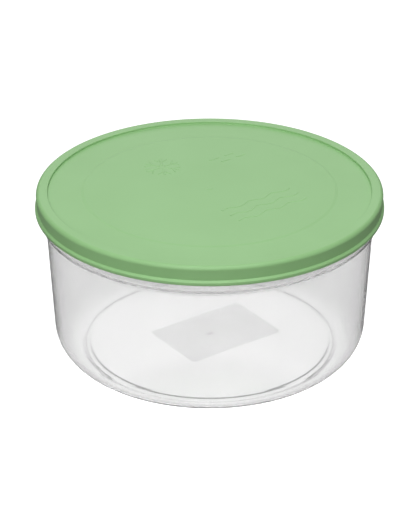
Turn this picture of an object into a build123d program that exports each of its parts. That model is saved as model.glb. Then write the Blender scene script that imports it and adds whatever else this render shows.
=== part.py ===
from build123d import *
import os

# Round food container with a snap lid, in millimetres.
# Origin at the centre of the foot ring's plane, +Z up, the rim at the top.
# Each moulding is a thin wall turned about the Z axis, so each is drawn as one closed section.

# Container: a tapered bowl with a wider collar at the mouth, over which the lid snaps
WALL_THICKNESS = 1.2
RIM_TOP_Z = 89.2
WALL_RADIUS_AT_FLOOR = 81.5
WALL_RADIUS_AT_LEDGE = 85.1
LEDGE_Z = 72.2
LEDGE_RISE = 2.3
LEDGE_FILLET = 0.5
COLLAR_RADIUS_BOTTOM = 87.3
COLLAR_RADIUS_TOP = 87.5
RIM_EDGE_RADIUS = 0.35
OUTER_CORNER_RADIUS = 15.0
INNER_CORNER_RADIUS = 12.6

# Inside, the ledge is a longer and softer slope than outside
INNER_LEDGE_DROP = 0.1
INNER_LEDGE_RISE = 1.1
INNER_LEDGE_FILLET = 1.8

# Snap bead round the outside of the container's mouth
RIM_BEAD_RADIUS = 88.0
RIM_BEAD_Z = 86.6
RIM_BEAD_HALF_HEIGHT = 1.2

# Foot: a narrow ring round a shallow recess, which fits round the disc of a lid below
FOOT_INNER_RADIUS = 66.2
FOOT_RECESS_DEPTH = 0.9
FOOT_EDGE_RADIUS = 0.3
FLOOR_THICKNESS = 1.4
FLOOR_CROWN = 1.6
FLOOR_EDGE_HEIGHT = 1.4

# Two low steps in the top of the floor, on either side of the foot's inner edge
OUTER_STEP_RADIUS = 67.9
OUTER_STEP_SLOPE_WIDTH = 0.9
OUTER_STEP_HEIGHT = 0.5
INNER_STEP_RADIUS = 64.3
INNER_STEP_SLOPE_WIDTH = 0.7
STEP_FILLET = 0.3

# Moulding gate: a nub in a round well under the middle of the floor, and a low spot on top of it
GATE_WELL_RADIUS = 2.0
GATE_WELL_DEPTH = 0.4
GATE_WELL_SLOPE_WIDTH = 0.4
GATE_WELL_FILLET = 0.15
GATE_NUB_RADIUS = 0.8
GATE_NUB_HEIGHT = 0.3
GATE_NUB_FILLET = 0.1
GATE_SPOT_RADIUS = 0.9
GATE_SPOT_SLOPE_WIDTH = 0.4
GATE_SPOT_HEIGHT = 0.15
GATE_SPOT_FILLET = 0.3

# Lid: a recessed panel inside a raised rim, with a skirt outside and a plug ring inside
LID_THICKNESS = 1.2
LID_RIM_HEIGHT = 1.25
LID_RIM_INNER_RADIUS = 83.8
LID_RADIUS_TOP = 90.0
LID_RADIUS_BOTTOM = 89.4
LID_RIM_OUTER_FILLET = 2.0
LID_RIM_INNER_FILLET = 0.35
LID_PANEL_FILLET = 0.25
LID_BOTTOM_Z = 80.1

# Raised disc on the lid, just smaller than the recess in the foot, and the gate mark at its centre
DISC_RADIUS = 65.0
DISC_HEIGHT = 0.2
DISC_SLOPE_WIDTH = 1.4
DISC_FILLET = 1.0
GATE_MARK_RADIUS = 1.1
GATE_MARK_SLOPE_WIDTH = 0.5
GATE_MARK_HEIGHT = 0.12
GATE_MARK_FILLET = 0.3

# Rounded lip along the skirt's lower edge
LIP_RADIUS = 90.5
LIP_HEIGHT = 1.9
LIP_SLOPE_HEIGHT = 0.9
LIP_UPPER_FILLET = 0.6
LIP_LOWER_FILLET = 0.8

# Inside of the skirt: its snap bead stays clear of the rim bead over the whole lift
SKIRT_INNER_RADIUS = 88.5
SKIRT_BEAD_RADIUS = 88.3
SKIRT_BEAD_Z = 83.4
SKIRT_BEAD_HALF_HEIGHT = 0.9

# Plug ring, which centres the lid in the mouth
PLUG_OUTER_RADIUS = 85.6
PLUG_THICKNESS = 0.9
PLUG_DEPTH = 4.0

# Blank adhesive label, which follows the underside of the floor inside the foot ring
LABEL_LENGTH = 58.0
LABEL_WIDTH = 40.0
LABEL_THICKNESS = 0.15
LABEL_CORNER_RADIUS = 2.0
LABEL_TURN_DEG = 35.5
LABEL_CENTRE = (3.4, 4.0)


def turned(corners):
    """The solid that a closed section makes round the Z axis.

    corners lists (radius, height, fillet) round the section; a fillet of 0 is a sharp corner.
    """
    points = [(radius, height) for radius, height, _ in corners]
    fillets = [corner_fillet for _, _, corner_fillet in corners]
    outline = FilletPolyline(*points, radius=fillets, close=True)
    return revolve(Plane.XZ * make_face(outline), Axis.Z)


def bead(wall_radius, bead_radius, height, half_height):
    """A rounded bead round the Z axis: outward from a wall, or inward, as bead_radius says."""
    bulge = ThreePointArc(
        (wall_radius, height - half_height),
        (bead_radius, height),
        (wall_radius, height + half_height),
    )
    back = Line(bulge @ 1, bulge @ 0)
    return revolve(Plane.XZ * make_face([bulge, back]), Axis.Z)


def underside_height(radius):
    """Height of the crowned floor's underside, outside the gate well."""
    slope = FLOOR_CROWN / (FOOT_INNER_RADIUS - GATE_WELL_RADIUS)
    return FOOT_RECESS_DEPTH + slope * (FOOT_INNER_RADIUS - radius)


def make_container():
    """The bowl: floor with its gate and foot ring, tapered wall, ledge, collar and rim bead."""
    crown_bottom = FOOT_RECESS_DEPTH + FLOOR_CROWN
    crown_top = crown_bottom + FLOOR_THICKNESS
    well_top = crown_bottom + GATE_WELL_DEPTH
    nub_bottom = well_top - GATE_NUB_HEIGHT
    spot_top = crown_top + GATE_SPOT_HEIGHT
    outer_step_top = FLOOR_EDGE_HEIGHT + OUTER_STEP_HEIGHT
    inner_step_top_radius = INNER_STEP_RADIUS - INNER_STEP_SLOPE_WIDTH
    inner_step_top = underside_height(inner_step_top_radius) + FLOOR_THICKNESS
    ledge_top = LEDGE_Z + LEDGE_RISE
    inner_wall_radius_at_ledge = WALL_RADIUS_AT_LEDGE - WALL_THICKNESS
    inner_collar_radius_bottom = COLLAR_RADIUS_BOTTOM - WALL_THICKNESS
    inner_collar_radius_top = COLLAR_RADIUS_TOP - WALL_THICKNESS
    bowl = turned([
        (0, nub_bottom, 0),
        (GATE_NUB_RADIUS, nub_bottom, GATE_NUB_FILLET),
        (GATE_NUB_RADIUS, well_top, GATE_NUB_FILLET),
        (GATE_WELL_RADIUS - GATE_WELL_SLOPE_WIDTH, well_top, GATE_WELL_FILLET),
        (GATE_WELL_RADIUS, crown_bottom, GATE_WELL_FILLET),
        (FOOT_INNER_RADIUS, FOOT_RECESS_DEPTH, FOOT_EDGE_RADIUS),
        (FOOT_INNER_RADIUS, 0, FOOT_EDGE_RADIUS),
        (WALL_RADIUS_AT_FLOOR, 0, OUTER_CORNER_RADIUS),
        (WALL_RADIUS_AT_LEDGE, LEDGE_Z, LEDGE_FILLET),
        (COLLAR_RADIUS_BOTTOM, ledge_top, LEDGE_FILLET),
        (COLLAR_RADIUS_TOP, RIM_TOP_Z, RIM_EDGE_RADIUS),
        (inner_collar_radius_top, RIM_TOP_Z, RIM_EDGE_RADIUS),
        (inner_collar_radius_bottom, ledge_top + INNER_LEDGE_RISE, INNER_LEDGE_FILLET),
        (inner_wall_radius_at_ledge, LEDGE_Z - INNER_LEDGE_DROP, INNER_LEDGE_FILLET),
        (WALL_RADIUS_AT_FLOOR - WALL_THICKNESS, FLOOR_EDGE_HEIGHT, INNER_CORNER_RADIUS),
        (OUTER_STEP_RADIUS, FLOOR_EDGE_HEIGHT, STEP_FILLET),
        (OUTER_STEP_RADIUS - OUTER_STEP_SLOPE_WIDTH, outer_step_top, STEP_FILLET),
        (INNER_STEP_RADIUS, outer_step_top, STEP_FILLET),
        (inner_step_top_radius, inner_step_top, STEP_FILLET),
        (GATE_SPOT_RADIUS + GATE_SPOT_SLOPE_WIDTH, crown_top, GATE_SPOT_FILLET),
        (GATE_SPOT_RADIUS, spot_top, GATE_SPOT_FILLET),
        (0, spot_top, 0),
    ])
    inside_collar = COLLAR_RADIUS_TOP - WALL_THICKNESS / 2
    return bowl + bead(inside_collar, RIM_BEAD_RADIUS, RIM_BEAD_Z, RIM_BEAD_HALF_HEIGHT)


def make_lid():
    """The lid: gate mark, disc, panel, rim, skirt with its lip and snap bead, and plug ring."""
    panel_top = RIM_TOP_Z
    panel_bottom = panel_top - LID_THICKNESS
    disc_top = panel_top + DISC_HEIGHT
    disc_bottom = panel_bottom + DISC_HEIGHT
    disc_foot_radius = DISC_RADIUS + DISC_SLOPE_WIDTH
    crest = panel_top + LID_RIM_HEIGHT
    lip_top = LID_BOTTOM_Z + LIP_HEIGHT
    plug_bottom = RIM_TOP_Z - PLUG_DEPTH
    plug_inner_radius = PLUG_OUTER_RADIUS - PLUG_THICKNESS
    shell = turned([
        (0, disc_top + GATE_MARK_HEIGHT, 0),
        (GATE_MARK_RADIUS, disc_top + GATE_MARK_HEIGHT, GATE_MARK_FILLET),
        (GATE_MARK_RADIUS + GATE_MARK_SLOPE_WIDTH, disc_top, GATE_MARK_FILLET),
        (DISC_RADIUS, disc_top, DISC_FILLET),
        (disc_foot_radius, panel_top, DISC_FILLET),
        (LID_RIM_INNER_RADIUS, panel_top, LID_PANEL_FILLET),
        (LID_RIM_INNER_RADIUS, crest, LID_RIM_INNER_FILLET),
        (LID_RADIUS_TOP, crest, LID_RIM_OUTER_FILLET),
        (LID_RADIUS_BOTTOM, lip_top + LIP_SLOPE_HEIGHT, LID_PANEL_FILLET),
        (LIP_RADIUS, lip_top, LIP_UPPER_FILLET),
        (LIP_RADIUS, LID_BOTTOM_Z, LIP_LOWER_FILLET),
        (SKIRT_INNER_RADIUS, LID_BOTTOM_Z, RIM_EDGE_RADIUS),
        (SKIRT_INNER_RADIUS, RIM_TOP_Z, 0),
        (PLUG_OUTER_RADIUS, RIM_TOP_Z, 0),
        (PLUG_OUTER_RADIUS, plug_bottom, RIM_EDGE_RADIUS),
        (plug_inner_radius, plug_bottom, RIM_EDGE_RADIUS),
        (plug_inner_radius, panel_bottom, LID_PANEL_FILLET),
        (disc_foot_radius, panel_bottom, DISC_FILLET),
        (DISC_RADIUS, disc_bottom, DISC_FILLET),
        (0, disc_bottom, 0),
    ])
    inside_skirt = (SKIRT_INNER_RADIUS + LID_RADIUS_BOTTOM) / 2
    return shell + bead(inside_skirt, SKIRT_BEAD_RADIUS, SKIRT_BEAD_Z, SKIRT_BEAD_HALF_HEIGHT)


def make_base_label():
    """The label: a thin turned layer against the floor's underside, cut to the label's outline."""
    crown_bottom = underside_height(GATE_WELL_RADIUS)
    layer_edge_top = underside_height(LABEL_LENGTH)
    layer = turned([
        (0, crown_bottom - LABEL_THICKNESS, 0),
        (GATE_WELL_RADIUS, crown_bottom - LABEL_THICKNESS, 0),
        (LABEL_LENGTH, layer_edge_top - LABEL_THICKNESS, 0),
        (LABEL_LENGTH, layer_edge_top, 0),
        (GATE_WELL_RADIUS, crown_bottom, 0),
        (0, crown_bottom, 0),
    ])
    outline = RectangleRounded(LABEL_LENGTH, LABEL_WIDTH, LABEL_CORNER_RADIUS)
    prism = Pos(*LABEL_CENTRE, 0) * Rot(0, 0, LABEL_TURN_DEG) * extrude(outline, 2 * crown_bottom)
    return layer & prism


os.makedirs("parts", exist_ok=True)
export_step(make_container(), "parts/container.step")
export_step(make_lid(), "parts/lid.step")
export_step(make_base_label(), "parts/base_label.step")
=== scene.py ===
import math

import bmesh
import bpy
from mathutils import Matrix, Vector


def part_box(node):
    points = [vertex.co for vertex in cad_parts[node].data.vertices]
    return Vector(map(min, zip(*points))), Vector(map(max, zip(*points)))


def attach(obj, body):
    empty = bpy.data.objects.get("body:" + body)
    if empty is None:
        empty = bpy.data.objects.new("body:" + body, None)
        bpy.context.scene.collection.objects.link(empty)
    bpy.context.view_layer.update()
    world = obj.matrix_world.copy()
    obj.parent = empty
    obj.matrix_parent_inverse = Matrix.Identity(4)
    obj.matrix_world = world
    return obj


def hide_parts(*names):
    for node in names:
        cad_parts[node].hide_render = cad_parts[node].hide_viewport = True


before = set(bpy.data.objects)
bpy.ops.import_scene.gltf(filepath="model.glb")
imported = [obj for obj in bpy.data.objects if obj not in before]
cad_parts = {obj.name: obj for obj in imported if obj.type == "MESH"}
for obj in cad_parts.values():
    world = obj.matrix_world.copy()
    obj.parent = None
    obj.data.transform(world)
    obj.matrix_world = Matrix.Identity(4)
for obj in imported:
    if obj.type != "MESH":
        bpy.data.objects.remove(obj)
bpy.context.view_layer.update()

MM = 0.001

# ---------------------------------------------------------------- sizes

TURN_STEPS = 320                      # faces round a turned moulding
LONGEST_FACE = 5 * MM                 # straight stretches of a section are split to at most this
ARC_STEP = math.radians(9)            # turn between neighbouring points of a rounded corner

# Roundings of corners in the sections
SHARP = 0.12 * MM                     # the least rounding that any corner gets
TIGHT = 0.15 * MM                     # the gate's well, and the corner between plug ring and lid
NARROW = 0.25 * MM                    # the foot of the lid's rim, and the slope over the lip
EDGE = 0.3 * MM                       # small steps and edges
WALL_END = 0.35 * MM                  # free ends of thin walls
SOFT = 0.5 * MM                       # the ledge, the rim's bead and the inner root of the plug ring

# Places that come from the frame
lid_low, lid_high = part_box("lid")
_, bowl_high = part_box("container")
RIM_TOP = bowl_high.z                 # where the lid rests on the container
CREST = lid_high.z                    # top of the lid's raised rim
LIP_RADIUS = lid_high.x               # the lid's widest place
LID_BOTTOM = lid_low.z

# Container wall, from the ground to the rim
WALL = 1.2 * MM
FLOOR_RADIUS = 81.5 * MM              # the outer wall carried down to the ground
LEDGE_RADIUS = 85.1 * MM              # the outer wall where the ledge begins
COLLAR_RADIUS = 87.3 * MM             # the collar at the top of the ledge
RIM_RADIUS = 87.5 * MM                # the collar at the rim
OUTER_CORNER = 15.0 * MM              # rounding between the ground and the wall
INNER_CORNER = 12.6 * MM              # the same inside
LEDGE_BOTTOM = 72.2 * MM
LEDGE_TOP = 74.5 * MM
INNER_LEDGE_DROP = 0.1 * MM           # inside, the ledge begins this much lower
INNER_LEDGE_RISE = 1.1 * MM           # and ends this much higher
INNER_LEDGE_ROUNDING = 1.8 * MM
RIM_BEAD_RADIUS = 88.0 * MM
RIM_BEAD_HEIGHT = 86.6 * MM           # middle of the bead
RIM_BEAD_REACH = 1.4 * MM             # from its middle to the ends of its slopes

# Container floor and foot
FOOT_INNER_RADIUS = 66.2 * MM
FOOT_RECESS = 0.9 * MM                # height of the floor's underside over the ground
FLOOR_THICKNESS = 1.4 * MM
FLOOR_CROWN = 1.6 * MM                # the floor's rise towards the centre
FLOOR_EDGE_TOP = 1.4 * MM             # top of the floor beside the rounded corner
OUTER_STEP_RADIUS = 67.9 * MM         # two low steps in the top of the floor
OUTER_STEP_SLOPE = 0.9 * MM
OUTER_STEP_RISE = 0.5 * MM
INNER_STEP_RADIUS = 64.3 * MM
INNER_STEP_SLOPE = 0.7 * MM

# Moulding gate of the container: a nub in a well underneath, and a low spot on top
WELL_RADIUS = 2.0 * MM
WELL_SLOPE = 0.4 * MM
WELL_DEPTH = 0.4 * MM
NUB_RADIUS = 0.8 * MM
NUB_HEIGHT = 0.3 * MM
SPOT_RADIUS = 0.9 * MM
SPOT_SLOPE = 0.4 * MM
SPOT_RISE = 0.15 * MM

# Top of the lid
PANEL = 1.2 * MM                      # thickness of the lid's panel
DISC_RADIUS = 65.0 * MM               # the raised middle of the lid
DISC_SLOPE = 1.4 * MM
DISC_RISE = 0.2 * MM
DISC_ROUNDING = 1.0 * MM
DISC_TOP = RIM_TOP + DISC_RISE
GATE_MARK_RADIUS = 1.1 * MM
GATE_MARK_SLOPE = 0.5 * MM
GATE_MARK_RISE = 0.12 * MM
LID_RIM_INNER_RADIUS = 83.8 * MM
LID_RIM_RADIUS = 90.0 * MM
LID_RIM_ROUNDING = 2.0 * MM

# Skirt and plug ring of the lid
SKIRT_RADIUS = 89.4 * MM              # the outside just over the lip
SKIRT_INNER_RADIUS = 88.5 * MM
SKIRT_BEAD_RADIUS = 88.3 * MM
SKIRT_BEAD_HEIGHT = 83.4 * MM         # middle of the bead
SKIRT_BEAD_REACH = 0.8 * MM           # from its middle to the ends of its slopes
LIP_TOP = 82.0 * MM
LIP_SLOPE_HEIGHT = 0.9 * MM
LIP_UPPER_ROUNDING = 0.4 * MM
LIP_LOWER_ROUNDING = 0.8 * MM
PLUG_OUTER_RADIUS = 85.6 * MM
PLUG_INNER_RADIUS = 84.7 * MM
PLUG_BOTTOM = 85.2 * MM

# Marks on the lid
MARK_TURN = math.radians(38)          # the marks' rows, turned from X
MARK_RISE = 0.15 * MM                 # how far they stand out of the disc
MARK_SINK = 0.10 * MM                 # how far they reach into it
FROST_CENTRE = Vector((-25 * MM, 27 * MM))
WAVES_CENTRE = Vector((28 * MM, -18 * MM))
DASHES_CENTRE = Vector((8 * MM, 38 * MM))

# Label
LABEL_LENGTH = 58 * MM
LABEL_WIDTH = 40 * MM
LABEL_CORNER = 2 * MM
LABEL_THICKNESS = 0.12 * MM
LABEL_GAP = 0.03 * MM                 # keeps its face off the floor's face
LABEL_TURN = math.radians(35.5)
LABEL_CENTRE = Vector((3.4 * MM, 4.0 * MM))

# Studio floor
STAGE_REACH = 3.0                     # half the floor's width
SEEN_GREY = 0.1                       # the floor's grey where it is seen, lit by the lamps
BOUNCE_GREY = 0.35                    # its grey for the light it gives back
MIRRORED_GREY = 0.18                  # its grey in reflections
FLOOR_GLOW = 1.12                     # its own light where it is seen
PAINTED_POOL_GLOW = 1.41                     # the same under the container: a painted pool of light that hides the container's shadow there
PAINTED_POOL_CENTRE = (0, -0.022, 0)          # the painted pool of light sits a little towards the front
PAINTED_POOL_INNER_RADIUS = 0.8 * bowl_high.x  # the painted pool fades from this distance of its centre
PAINTED_POOL_OUTER_RADIUS = 1.2 * bowl_high.x  # to this one

# Sockets of a Mix node set to colours, which share their names with its other sockets
MIX_SHARE = 0
MIX_FIRST = 6
MIX_SECOND = 7
MIX_RESULT = 2


# ---------------------------------------------------------------- turned meshes

def rounded_corner(before, corner, after, radius):
    """Samples (point, outward normal) of the arc that rounds one corner of a section."""
    into = (corner - before).normalized()
    out = (after - corner).normalized()
    turn = math.atan2(into.x * out.y - into.y * out.x, into.dot(out))
    side = 1 if turn > 0 else -1
    start = corner - into * radius * math.tan(abs(turn) / 2)
    centre = start + Vector((-into.y, into.x)) * radius * side
    steps = max(2, math.ceil(abs(turn) / ARC_STEP))
    samples = []
    for i in range(steps + 1):
        arm = Matrix.Rotation(turn * i / steps, 2) @ (start - centre)
        samples.append((centre + arm, arm.normalized() * side))
    return samples


def section_samples(corners):
    """Samples (point, outward normal) along a section that runs from axis to axis.

    corners lists (radius, height, rounding); going along it, the solid is on the left.
    """
    points = [Vector((radius, height)) for radius, height, _ in corners]
    samples = []
    for i in range(1, len(points) - 1):
        rounding = max(corners[i][2], SHARP)
        samples += rounded_corner(points[i - 1], points[i], points[i + 1], rounding)
    first = (points[0], samples[0][1])
    last = (points[-1], samples[-1][1])
    whole = [first]
    for point, normal in samples + [last]:
        start, start_normal = whole[-1]
        pieces = math.ceil((point - start).length / LONGEST_FACE)
        whole += [(start.lerp(point, i / pieces), start_normal) for i in range(1, pieces)]
        whole.append((point, normal))
    return whole


def bead(wall, crest, height, reach, rounding):
    """Section corners of a bead on a wall, listed upwards: a slope, a flat crest and a slope."""
    return [
        (wall, height - reach, rounding),
        (crest, height - reach / 2, rounding),
        (crest, height + reach / 2, rounding),
        (wall, height + reach, rounding),
    ]


def turned(name, corners, material):
    """A closed moulding turned about the Z axis from its section, smooth with exact normals."""
    mesh = bmesh.new()
    rings = []
    normals = []
    for point, normal in section_samples(corners):
        on_axis = point.x == 0
        across = 0 if on_axis else normal.x
        ring = []
        for i in range(1 if on_axis else TURN_STEPS):
            angle = 2 * math.pi * i / TURN_STEPS
            ring.append(mesh.verts.new((point.x * math.cos(angle), point.x * math.sin(angle), point.y)))
            normals.append((across * math.cos(angle), across * math.sin(angle), normal.y))
        rings.append(ring)
    for lower, upper in zip(rings, rings[1:]):
        for i in range(TURN_STEPS):
            j = (i + 1) % TURN_STEPS
            face = [lower[i % len(lower)], lower[j % len(lower)]]
            face += [upper[j % len(upper)], upper[i % len(upper)]]
            mesh.faces.new(dict.fromkeys(face))
    return finished(name, mesh, material, normals)


def finished(name, mesh, material, normals=None):
    """The object that holds a bmesh, smooth shaded, with its material."""
    data = bpy.data.meshes.new(name)
    mesh.to_mesh(data)
    mesh.free()
    data.shade_smooth()
    if normals:
        data.normals_split_custom_set_from_vertices(normals)
    data.materials.append(material)
    made = bpy.data.objects.new(name, data)
    bpy.context.scene.collection.objects.link(made)
    return made


# ---------------------------------------------------------------- node materials

def new_material(name):
    """An empty node material and its Principled shader."""
    material = bpy.data.materials.new(name)
    material.use_nodes = True
    return material, material.node_tree, material.node_tree.nodes["Principled BSDF"]


def noise_node(tree, scale, detail, roughness=0.5):
    """A noise texture in the object's own coordinates; scale is features per metre."""
    place = tree.nodes.new("ShaderNodeTexCoord")
    texture = tree.nodes.new("ShaderNodeTexNoise")
    texture.inputs["Scale"].default_value = scale
    texture.inputs["Detail"].default_value = detail
    texture.inputs["Roughness"].default_value = roughness
    tree.links.new(place.outputs["Object"], texture.inputs["Vector"])
    return texture.outputs["Fac"]


def ramp(tree, source, stops):
    """A colour ramp on a value; stops lists (position, colour)."""
    node = tree.nodes.new("ShaderNodeValToRGB")
    elements = node.color_ramp.elements
    while len(elements) < len(stops):
        elements.new(0.5)
    for element, (position, colour) in zip(elements, stops):
        element.position = position
        element.color = (*colour, 1)
    tree.links.new(source, node.inputs["Fac"])
    return node.outputs["Color"]


def two_tones(tree, noise, dark, light):
    """A colour that drifts between two near ones with a noise, whose values are mostly 0.3 to 0.7."""
    return ramp(tree, noise, [(0.3, dark), (0.7, light)])


def spread(tree, source, low, high):
    """A value from 0 to 1 mapped to low to high."""
    node = tree.nodes.new("ShaderNodeMapRange")
    node.inputs["To Min"].default_value = low
    node.inputs["To Max"].default_value = high
    tree.links.new(source, node.inputs["Value"])
    return node.outputs["Result"]


def bump(tree, source, height, normal=None):
    """A bump of that height in metres, on top of another bump if one is given."""
    node = tree.nodes.new("ShaderNodeBump")
    node.inputs["Distance"].default_value = height
    tree.links.new(source, node.inputs["Height"])
    if normal:
        tree.links.new(normal, node.inputs["Normal"])
    return node.outputs["Normal"]


def collar_shade_share(tree):
    """A value by height: 0 on the container's wall, 1 on its collar, where the shade under the lid is
    painted.
    """
    place = tree.nodes.new("ShaderNodeTexCoord")
    split = tree.nodes.new("ShaderNodeSeparateXYZ")
    tree.links.new(place.outputs["Object"], split.inputs["Vector"])
    share = tree.nodes.new("ShaderNodeMapRange")
    share.inputs["From Min"].default_value = LEDGE_BOTTOM
    share.inputs["From Max"].default_value = LEDGE_TOP
    tree.links.new(split.outputs["Z"], share.inputs["Value"])
    return share.outputs["Result"]


def blend(tree, share, first, second):
    """A colour between two colours."""
    node = tree.nodes.new("ShaderNodeMix")
    node.data_type = "RGBA"
    tree.links.new(share, node.inputs[MIX_SHARE])
    tree.links.new(first, node.inputs[MIX_FIRST])
    tree.links.new(second, node.inputs[MIX_SECOND])
    return node.outputs[MIX_RESULT]


def mix_by_ray(tree, rays, kind, otherwise, shader):
    """One shader for that kind of ray and another for the rest."""
    node = tree.nodes.new("ShaderNodeMixShader")
    tree.links.new(rays.outputs[kind], node.inputs["Fac"])
    tree.links.new(otherwise, node.inputs[1])
    tree.links.new(shader, node.inputs[2])
    return node.outputs["Shader"]


def green_plastic():
    """Opaque pastel green moulding: semi-matt, a fine spark-eroded grain, slow flow marks."""
    material, tree, shader = new_material("green_polypropylene")
    flow = noise_node(tree, scale=22, detail=2)
    grain = noise_node(tree, scale=2600, detail=2)
    colour = two_tones(tree, flow, dark=(0.282, 0.530, 0.224), light=(0.298, 0.552, 0.240))
    tree.links.new(colour, shader.inputs["Base Color"])
    tree.links.new(spread(tree, grain, low=0.36, high=0.50), shader.inputs["Roughness"])
    slow = bump(tree, flow, height=0.25 * MM)
    fine = bump(tree, grain, height=0.012 * MM, normal=slow)
    tree.links.new(fine, shader.inputs["Normal"])
    shader.inputs["Specular IOR Level"].default_value = 0.45
    return material


def natural_plastic():
    """Uncoloured translucent moulding: clear enough to see through, with painted shade making the collar
    under the lid greyer.
    """
    material, tree, shader = new_material("natural_polypropylene")
    flow = noise_node(tree, scale=30, detail=2)
    grain = noise_node(tree, scale=1500, detail=2)
    smooth = two_tones(tree, flow, dark=(0.903, 0.897, 0.903), light=(0.923, 0.917, 0.923))
    # Painted shade: the collar under the lid gets a darker grey, for the shade the lid casts there
    painted_collar_shade = two_tones(tree, flow, dark=(0.735, 0.730, 0.735), light=(0.765, 0.760, 0.765))
    colour = blend(tree, collar_shade_share(tree), smooth, painted_collar_shade)
    tree.links.new(colour, shader.inputs["Base Color"])
    tree.links.new(spread(tree, grain, low=0.05, high=0.08), shader.inputs["Roughness"])
    tree.links.new(bump(tree, flow, height=0.012 * MM), shader.inputs["Normal"])
    shader.inputs["IOR"].default_value = 1.49
    shader.inputs["Transmission Weight"].default_value = 0.88
    # The lamps' light goes straight through, so that the plastic casts only a faint shadow
    clear = tree.nodes.new("ShaderNodeBsdfTransparent")
    clear.inputs["Color"].default_value = (0.86, 0.87, 0.87, 1)
    rays = tree.nodes.new("ShaderNodeLightPath")
    surface = mix_by_ray(tree, rays, "Is Shadow Ray", shader.outputs["BSDF"], clear.outputs["BSDF"])
    tree.links.new(surface, tree.nodes["Material Output"].inputs["Surface"])
    return material


def label_film():
    """Blank milky film, translucent and matt, with a fine fibrous grain."""
    material, tree, shader = new_material("label_film")
    fibres = noise_node(tree, scale=900, detail=5, roughness=0.7)
    cloud = noise_node(tree, scale=60, detail=3)
    colour = two_tones(tree, cloud, dark=(0.95, 0.945, 0.95), light=(0.97, 0.965, 0.97))
    tree.links.new(colour, shader.inputs["Base Color"])
    tree.links.new(spread(tree, fibres, low=0.55, high=0.70), shader.inputs["Roughness"])
    tree.links.new(bump(tree, fibres, height=0.03 * MM), shader.inputs["Normal"])
    shader.inputs["IOR"].default_value = 1.2
    shader.inputs["Transmission Weight"].default_value = 0.97
    return material


GREEN = green_plastic()
NATURAL = natural_plastic()
FILM = label_film()


# ---------------------------------------------------------------- container

def floor_underside(radius):
    """Height of the crowned floor's underside."""
    slope = FLOOR_CROWN / (FOOT_INNER_RADIUS - WELL_RADIUS)
    return FOOT_RECESS + slope * (FOOT_INNER_RADIUS - max(radius, WELL_RADIUS))


def make_container():
    """The bowl: crowned floor, foot ring, rounded corner, tapered wall, ledge, collar, rim bead."""
    crown_bottom = floor_underside(0)
    crown_top = crown_bottom + FLOOR_THICKNESS
    well_top = crown_bottom + WELL_DEPTH
    nub_bottom = well_top - NUB_HEIGHT
    spot_top = crown_top + SPOT_RISE
    outer_step_top = FLOOR_EDGE_TOP + OUTER_STEP_RISE
    inner_step_end = INNER_STEP_RADIUS - INNER_STEP_SLOPE
    section = [
        (0, nub_bottom, 0),
        (NUB_RADIUS, nub_bottom, SHARP),
        (NUB_RADIUS, well_top, SHARP),
        (WELL_RADIUS - WELL_SLOPE, well_top, TIGHT),
        (WELL_RADIUS, crown_bottom, TIGHT),
        (FOOT_INNER_RADIUS, FOOT_RECESS, EDGE),
        (FOOT_INNER_RADIUS, 0, EDGE),
        (FLOOR_RADIUS, 0, OUTER_CORNER),
        (LEDGE_RADIUS, LEDGE_BOTTOM, SOFT),
        (COLLAR_RADIUS, LEDGE_TOP, SOFT),
        *bead(RIM_RADIUS, RIM_BEAD_RADIUS, RIM_BEAD_HEIGHT, RIM_BEAD_REACH, SOFT),
        (RIM_RADIUS, RIM_TOP, WALL_END),
        (RIM_RADIUS - WALL, RIM_TOP, WALL_END),
        (COLLAR_RADIUS - WALL, LEDGE_TOP + INNER_LEDGE_RISE, INNER_LEDGE_ROUNDING),
        (LEDGE_RADIUS - WALL, LEDGE_BOTTOM - INNER_LEDGE_DROP, INNER_LEDGE_ROUNDING),
        (FLOOR_RADIUS - WALL, FLOOR_EDGE_TOP, INNER_CORNER),
        (OUTER_STEP_RADIUS, FLOOR_EDGE_TOP, EDGE),
        (OUTER_STEP_RADIUS - OUTER_STEP_SLOPE, outer_step_top, EDGE),
        (INNER_STEP_RADIUS, outer_step_top, EDGE),
        (inner_step_end, floor_underside(inner_step_end) + FLOOR_THICKNESS, EDGE),
        (SPOT_RADIUS + SPOT_SLOPE, crown_top, EDGE),
        (SPOT_RADIUS, spot_top, EDGE),
        (0, spot_top, 0),
    ]
    bowl = turned("container_shell", section, NATURAL)
    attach(bowl, "container")
    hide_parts("container")


# ---------------------------------------------------------------- lid

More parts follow.
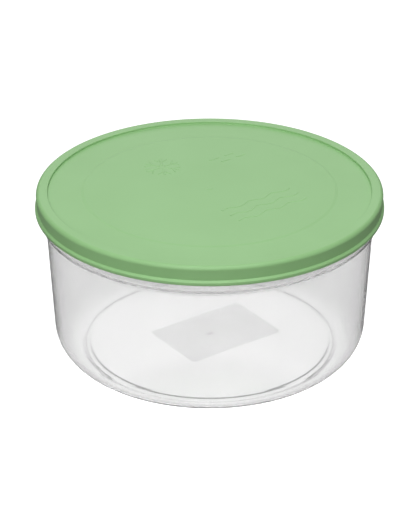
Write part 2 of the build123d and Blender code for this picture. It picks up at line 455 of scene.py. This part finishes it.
def make_lid():
    """The lid: gate mark, raised disc, panel, rim, skirt with its lip, snap bead and plug ring."""
    panel_bottom = RIM_TOP - PANEL
    disc_bottom = panel_bottom + DISC_RISE
    disc_foot = DISC_RADIUS + DISC_SLOPE
    gate_mark_top = DISC_TOP + GATE_MARK_RISE
    skirt_bead = bead(SKIRT_INNER_RADIUS, SKIRT_BEAD_RADIUS, SKIRT_BEAD_HEIGHT, SKIRT_BEAD_REACH, EDGE)
    section = [
        (0, disc_bottom, 0),
        (DISC_RADIUS, disc_bottom, DISC_ROUNDING),
        (disc_foot, panel_bottom, DISC_ROUNDING),
        (PLUG_INNER_RADIUS, panel_bottom, SOFT),
        (PLUG_INNER_RADIUS, PLUG_BOTTOM, WALL_END),
        (PLUG_OUTER_RADIUS, PLUG_BOTTOM, WALL_END),
        (PLUG_OUTER_RADIUS, RIM_TOP, TIGHT),
        (SKIRT_INNER_RADIUS, RIM_TOP, EDGE),
        *reversed(skirt_bead),
        (SKIRT_INNER_RADIUS, LID_BOTTOM, WALL_END),
        (LIP_RADIUS, LID_BOTTOM, LIP_LOWER_ROUNDING),
        (LIP_RADIUS, LIP_TOP, LIP_UPPER_ROUNDING),
        (SKIRT_RADIUS, LIP_TOP + LIP_SLOPE_HEIGHT, NARROW),
        (LID_RIM_RADIUS, CREST, LID_RIM_ROUNDING),
        (LID_RIM_INNER_RADIUS, CREST, WALL_END),
        (LID_RIM_INNER_RADIUS, RIM_TOP, NARROW),
        (disc_foot, RIM_TOP, DISC_ROUNDING),
        (DISC_RADIUS, DISC_TOP, DISC_ROUNDING),
        (GATE_MARK_RADIUS + GATE_MARK_SLOPE, DISC_TOP, EDGE),
        (GATE_MARK_RADIUS, gate_mark_top, EDGE),
        (0, gate_mark_top, 0),
    ]
    lid = turned("lid_shell", section, GREEN)
    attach(lid, "lid")
    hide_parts("lid")


def raise_stroke(mesh, points, width):
    """Adds a closed low bar with sloping sides along a line of points on the lid's disc."""
    # The bar's section: shares of its width across, and of its height up
    profile = [(-0.5, 0), (0.5, 0), (0.5, 0.5), (0.3, 1), (-0.3, 1), (-0.5, 0.5)]
    base = DISC_TOP - MARK_SINK
    height = MARK_SINK + MARK_RISE
    rings = []
    for i, point in enumerate(points):
        ahead = (points[min(i + 1, len(points) - 1)] - points[max(i - 1, 0)]).normalized()
        across = Vector((-ahead.y, ahead.x))
        ring = []
        for aside, up in profile:
            place = point + across * aside * width
            ring.append(mesh.verts.new((place.x, place.y, base + height * up)))
        rings.append(ring)
    for near, far in zip(rings, rings[1:]):
        for i in range(len(profile)):
            j = (i + 1) % len(profile)
            mesh.faces.new((near[i], near[j], far[j], far[i]))
    mesh.faces.new(rings[0][::-1])
    mesh.faces.new(rings[-1])


def raise_frost_sign(mesh):
    """A frost sign: six arms with two barbs each."""
    arm = [(1.6 * MM, 0), (10.0 * MM, 0)]
    barb = [(6.4 * MM, 0.8 * MM), (8.9 * MM, 3.3 * MM)]
    arms = 6
    for i in range(arms):
        turn = Matrix.Rotation(2 * math.pi * i / arms + MARK_TURN, 2)
        raise_stroke(mesh, [FROST_CENTRE + turn @ Vector(p) for p in arm], width=1.1 * MM)
        for side in (-1, 1):
            points = [FROST_CENTRE + turn @ Vector((along, side * across)) for along, across in barb]
            raise_stroke(mesh, points, width=0.9 * MM)


def raise_waves(mesh):
    """Three waves side by side."""
    length = 44 * MM
    pitch = 7 * MM
    swing = 1.1 * MM
    periods = 3
    steps = 60
    turn = Matrix.Rotation(MARK_TURN, 2)
    for row in (-1, 0, 1):
        wave = []
        for i in range(steps + 1):
            along = (i / steps - 0.5) * length
            across = row * pitch + swing * math.sin(2 * math.pi * periods * i / steps)
            wave.append(WAVES_CENTRE + turn @ Vector((along, across)))
        raise_stroke(mesh, wave, width=1.3 * MM)


def raise_dashes(mesh):
    """Two rows of two dashes; the second row is set over."""
    length = 6 * MM
    pitch = 10 * MM
    turn = Matrix.Rotation(MARK_TURN, 2)
    for across, first in ((2.5 * MM, -8 * MM), (-2.5 * MM, -4 * MM)):
        for start in (first, first + pitch):
            ends = (Vector((start, across)), Vector((start + length, across)))
            raise_stroke(mesh, [DASHES_CENTRE + turn @ p for p in ends], width=1.1 * MM)


def make_lid_marks():
    """Low plain relief on the lid: a frost sign, waves and dashes."""
    mesh = bmesh.new()
    raise_frost_sign(mesh)
    raise_waves(mesh)
    raise_dashes(mesh)
    bmesh.ops.recalc_face_normals(mesh, faces=mesh.faces)
    marks = finished("lid_marks", mesh, GREEN)
    marks.data.shade_flat()
    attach(marks, "lid")


# ---------------------------------------------------------------- label

def label_rows():
    """Places across the label, closer together in its rounded corners, each with its half length."""
    flat = LABEL_WIDTH / 2 - LABEL_CORNER
    angles = [math.radians(angle) for angle in range(0, 91, 15)]
    corner = [LABEL_WIDTH / 2 - LABEL_CORNER * (1 - math.cos(angle)) for angle in angles]
    middle = [flat * i / 10 for i in range(-9, 10)]
    rows = []
    for across in [-place for place in corner] + middle + corner[::-1]:
        past = max(0, abs(across) - flat)
        rows.append((across, LABEL_LENGTH / 2 - LABEL_CORNER + math.sqrt(LABEL_CORNER ** 2 - past ** 2)))
    return rows


def make_label():
    """The label: a thin sheet with rounded corners that follows the floor's underside."""
    columns = 30
    turn = Matrix.Rotation(LABEL_TURN, 2)
    mesh = bmesh.new()
    upper = []
    lower = []
    for across, half_length in label_rows():
        over = []
        under = []
        for i in range(columns + 1):
            spot = LABEL_CENTRE + turn @ Vector(((2 * i / columns - 1) * half_length, across))
            top = floor_underside(spot.length) - LABEL_GAP
            over.append(mesh.verts.new((spot.x, spot.y, top)))
            under.append(mesh.verts.new((spot.x, spot.y, top - LABEL_THICKNESS)))
        upper.append(over)
        lower.append(under)
    last = len(upper) - 1
    for j in range(last):
        for i in range(columns):
            mesh.faces.new((upper[j][i], upper[j][i + 1], upper[j + 1][i + 1], upper[j + 1][i]))
            mesh.faces.new((lower[j][i], lower[j + 1][i], lower[j + 1][i + 1], lower[j][i + 1]))
        mesh.faces.new((lower[j][0], upper[j][0], upper[j + 1][0], lower[j + 1][0]))
        mesh.faces.new((upper[j][columns], lower[j][columns], lower[j + 1][columns], upper[j + 1][columns]))
    for i in range(columns):
        mesh.faces.new((upper[0][i], lower[0][i], lower[0][i + 1], upper[0][i + 1]))
        mesh.faces.new((lower[last][i], upper[last][i], upper[last][i + 1], lower[last][i + 1]))
    label = finished("base_label_sheet", mesh, FILM)
    label.data.shade_flat()
    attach(label, "container")
    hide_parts("base_label")


make_container()
make_lid()
make_lid_marks()
make_label()


# ---------------------------------------------------------------- stage, light and camera

def plain_surface(tree, shader, grey):
    """Makes a Principled shader a matt grey; returns its output."""
    shader.inputs["Base Color"].default_value = (grey, grey, grey, 1)
    shader.inputs["Roughness"].default_value = 0.9
    shader.inputs["Specular IOR Level"].default_value = 0.0
    return shader.outputs["BSDF"]


def add_glow_and_painted_pool(tree, shader):
    """Gives a shader white light of its own, with a painted pool of stronger light under the container that
    hides its shadow.
    """
    place = tree.nodes.new("ShaderNodeTexCoord")
    reach = tree.nodes.new("ShaderNodeVectorMath")
    reach.operation = "DISTANCE"
    reach.inputs[1].default_value = PAINTED_POOL_CENTRE
    tree.links.new(place.outputs["Object"], reach.inputs[0])
    fade = tree.nodes.new("ShaderNodeMapRange")
    fade.interpolation_type = "SMOOTHSTEP"
    fade.inputs["From Min"].default_value = PAINTED_POOL_INNER_RADIUS
    fade.inputs["From Max"].default_value = PAINTED_POOL_OUTER_RADIUS
    # Painted light: the floor glows stronger under the container, to hide the shadow there
    fade.inputs["To Min"].default_value = PAINTED_POOL_GLOW
    fade.inputs["To Max"].default_value = FLOOR_GLOW
    tree.links.new(reach.outputs["Value"], fade.inputs["Value"])
    shader.inputs["Emission Color"].default_value = (1, 1, 1, 1)
    tree.links.new(fade.outputs["Result"], shader.inputs["Emission Strength"])


def make_floor():
    """A wide pale floor: white to the camera, through the plastic too, and dimmer in reflections."""
    material, tree, bouncing = new_material("stage_floor")
    glowing = tree.nodes.new("ShaderNodeBsdfPrincipled")
    add_glow_and_painted_pool(tree, glowing)
    bounce = plain_surface(tree, bouncing, BOUNCE_GREY)
    seen = plain_surface(tree, glowing, SEEN_GREY)
    mirrored = plain_surface(tree, tree.nodes.new("ShaderNodeBsdfPrincipled"), MIRRORED_GREY)
    rays = tree.nodes.new("ShaderNodeLightPath")
    surface = mix_by_ray(tree, rays, "Is Glossy Ray", bounce, mirrored)
    surface = mix_by_ray(tree, rays, "Is Transmission Ray", surface, seen)
    surface = mix_by_ray(tree, rays, "Is Camera Ray", surface, seen)
    tree.links.new(surface, tree.nodes["Material Output"].inputs["Surface"])
    mesh = bmesh.new()
    bmesh.ops.create_grid(mesh, x_segments=1, y_segments=1, size=STAGE_REACH)
    floor = finished("floor", mesh, material)


def softbox(name, place, aim, size, power):
    """A square area light at a place that faces aim; metres and watts."""
    data = bpy.data.lights.new(name, "AREA")
    data.size = size
    data.energy = power
    lamp = bpy.data.objects.new(name, data)
    lamp.location = place
    lamp.rotation_mode = "QUATERNION"
    lamp.rotation_quaternion = (Vector(aim) - Vector(place)).to_track_quat("-Z", "Y")
    bpy.context.scene.collection.objects.link(lamp)


def make_world(horizon, zenith):
    """A studio that is dimmer at the horizon than overhead."""
    world = bpy.data.worlds.new("studio")
    world.use_nodes = True
    tree = world.node_tree
    place = tree.nodes.new("ShaderNodeTexCoord")
    split = tree.nodes.new("ShaderNodeSeparateXYZ")
    tree.links.new(place.outputs["Generated"], split.inputs["Vector"])
    stops = [(0.0, (horizon,) * 3), (0.25, (horizon,) * 3), (1.0, (zenith,) * 3)]
    colour = ramp(tree, split.outputs["Z"], stops)
    tree.links.new(colour, tree.nodes["Background"].inputs["Color"])
    bpy.context.scene.world = world


def make_camera():
    """A long lens, looking down at the container."""
    elevation = math.radians(27.5)
    lid_centre = Vector((0.0002, 0, 0.0900))
    distance = 1.1124                 # from the lid's centre
    drop = 0.0395                     # the line of sight passes this far under the lid's centre
    back = Vector((0, -math.cos(elevation), math.sin(elevation)))
    up = Vector((0, math.sin(elevation), math.cos(elevation)))
    data = bpy.data.cameras.new("camera")
    data.lens = 146.5
    camera = bpy.data.objects.new("camera", data)
    camera.location = lid_centre + back * distance - up * drop
    camera.rotation_mode = "QUATERNION"
    camera.rotation_quaternion = (-back).to_track_quat("-Z", "Y")
    bpy.context.scene.collection.objects.link(camera)
    bpy.context.scene.camera = camera


make_floor()
softbox("top_softbox", place=(0, -0.5, 1.15), aim=(0, 0, 0.05), size=1.2, power=9.3)
softbox("front_softbox", place=(-0.5, -1.5, 0.8), aim=(0, 0, 0.05), size=0.8, power=7.4)
softbox("back_softbox", place=(0, 1.3, 0.75), aim=(0, 0, 0.09), size=0.9, power=2.6)
make_world(horizon=0.18, zenith=0.5)
make_camera()
bpy.context.scene.view_settings.view_transform = "Standard"
